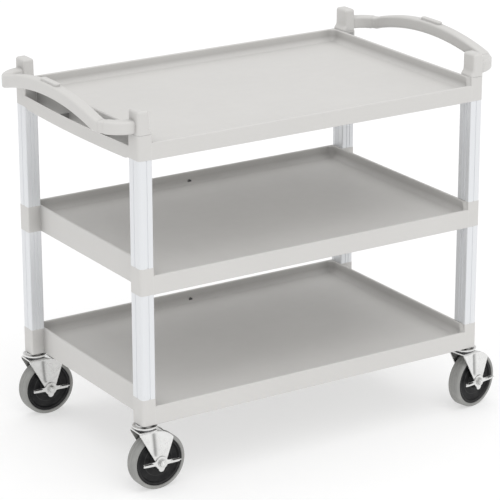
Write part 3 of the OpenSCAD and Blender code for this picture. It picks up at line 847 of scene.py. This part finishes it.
def axle_bolt(bm, axle):
    """The bolt through the wheel: its head outside one leg, its end out past the nut."""
    bolt_tip, root, chamfer = LEVER_Y - LEVER_T - 8 * MM, FORK_OUTER + 1 * MM, 1 * MM
    hexagon(bm, axle, HEX_W, FORK_OUTER, FORK_OUTER + 5 * MM, chamfer)
    lathe(bm, [(0, root), (BOLT_R, root), (BOLT_R, bolt_tip + chamfer), (BOLT_R - chamfer, bolt_tip),
               (0, bolt_tip)], axle, 32)


def axle_nut(bm, axle):
    """The nut and its washer, outside the brake lever."""
    bore_r, washer_r, washer_t = BOLT_R + 0.05 * MM, 9 * MM, 1.2 * MM
    face = LEVER_Y - LEVER_T - 0.1 * MM
    hexagon(bm, axle, HEX_W, face - washer_t, face - 6.5 * MM, 1 * MM)
    lathe(bm, [(bore_r, face), (washer_r, face), (washer_r, face - washer_t), (bore_r, face - 1.4 * MM)],
          axle, 40)


def build_caster(corner):
    """One caster: stem and plate on the frame, then what swivels, what rolls and the brake lever."""
    place = caster_frame(corner)
    axle = place @ Matrix.Translation((TRAIL, 0, WHEEL_R))
    tilted = axle @ Matrix.Rotation(BRAKE_TILT, 4, "Y")
    swivel, wheel, brake = (f"{body}_{corner}" for body in ("swivel", "wheel", "brake"))
    parts = (
        ("stem_plate", "stem", "frame", "bright_steel", stem_and_plate, place),
        ("race_housing", "race", swivel, "dark_steel", race_housing, place),
        ("fork_stamping", "fork", swivel, "bright_steel", fork_stamping, place),
        ("axle_bolt_turned", "axle_bolt", swivel, "bright_steel", axle_bolt, axle),
        ("axle_nut_hex", "axle_nut", swivel, "bright_steel", axle_nut, axle),
        ("wheel_core_moulding", "wheel_core", wheel, "core_plastic", wheel_core, axle),
        ("tyre_tread", "tyre", wheel, "grey_tread", tyre, axle),
        ("brake_lever_stamping", "brake_lever", brake, "bright_steel", brake_lever, tilted),
    )
    for name, node, body, slot, draw, at in parts:
        bm = bmesh.new()
        draw(bm, at)
        piece(f"{name}_{corner}", bm, body, slot, f"{node}_{corner}")


# ---------------------------------------------------------------- carried-over CAD nodes

def dress_cad_nodes():
    """Gives every CAD node the material of its slot."""
    for part in frame["record"]["subparts"]:
        obj = frame["nodes"][part["node"]]
        obj.data.materials.clear()
        obj.data.materials.append(LOOKS[part["material_slot"]])


# ---------------------------------------------------------------- studio

def studio_floor():
    """A pale floor large enough to fill the view, with a glow that keeps its shadows soft."""
    half_size = 30
    bm = bmesh.new()
    bmesh.ops.create_grid(bm, x_segments=1, y_segments=1, size=half_size)
    mesh = bpy.data.meshes.new("studio_floor")
    bm.to_mesh(mesh)
    bm.free()
    look = Look("studio_floor")
    tone = look.levels(look.noise(0.6, 2), 0.3, 0.7, 0.985, 1.0)
    look.feed(look.shader, {"Emission Color": (1, 1, 1, 1)})
    mesh.materials.append(look.finish(Base_Color=look.shade((0.56, 0.56, 0.56, 1), tone), Roughness=0.9,
                                      Specular_IOR_Level=0.1, Emission_Strength=0.46))
    floor = bpy.data.objects.new("studio_floor", mesh)
    bpy.context.scene.collection.objects.link(floor)


def studio_world(strength):
    """An even surround that lights with strength and looks plain white, so that no horizon shows."""
    world = bpy.data.worlds.new("studio")
    world.use_nodes = True
    tree = world.node_tree
    sky = tree.nodes["Background"]
    sky.inputs["Color"].default_value = (1, 1, 1, 1)
    seen = tree.nodes.new("ShaderNodeMapRange")
    seen.inputs["To Min"].default_value = strength
    seen.inputs["To Max"].default_value = 1.0
    tree.links.new(tree.nodes.new("ShaderNodeLightPath").outputs["Is Camera Ray"], seen.inputs["Value"])
    tree.links.new(seen.outputs["Result"], sky.inputs["Strength"])
    bpy.context.scene.world = world


def look_back(azimuth, elevation):
    """The direction towards a viewer or a lamp, in degrees: azimuth 0 is in front, on -Y."""
    a, e = math.radians(azimuth), math.radians(elevation)
    return Vector((math.sin(a) * math.cos(e), -math.cos(a) * math.cos(e), math.sin(e)))


def soft_light(name, azimuth, elevation, spread, strength):
    """A broad lamp, spread degrees wide, that lights the whole floor evenly."""
    data = bpy.data.lights.new(name, "SUN")
    data.angle = math.radians(spread)
    data.energy = strength
    lamp = bpy.data.objects.new(name, data)
    lamp.rotation_euler = look_back(azimuth, elevation).to_track_quat("Z", "Y").to_euler()
    bpy.context.scene.collection.objects.link(lamp)


def studio_camera():
    """A long lens from the front left, above the trolley."""
    azimuth, elevation, roll, distance = -32.468, 18.968, 0.093, 5.607
    data = bpy.data.cameras.new("camera")
    data.sensor_width = 36
    data.lens = 180.47
    data.clip_end = 100
    camera = bpy.data.objects.new("camera", data)
    camera.location = Vector((0.0035, 0, 0.3868)) + look_back(azimuth, elevation) * distance
    camera.rotation_euler = (math.radians(90 - elevation), math.radians(roll), math.radians(azimuth))
    bpy.context.scene.collection.objects.link(camera)
    bpy.context.scene.camera = camera


# ---------------------------------------------------------------- the model

build_trays()
build_posts()
build_screws()
build_grips()
build_caps()
for corner_name in CORNERS:
    build_caster(corner_name)
dress_cad_nodes()

studio_floor()
studio_world(0.74)
soft_light("key", -5, 45, 50, 0.47)
soft_light("top", 0, 88, 60, 0.75)
studio_camera()
bpy.context.scene.view_settings.view_transform = "Standard"
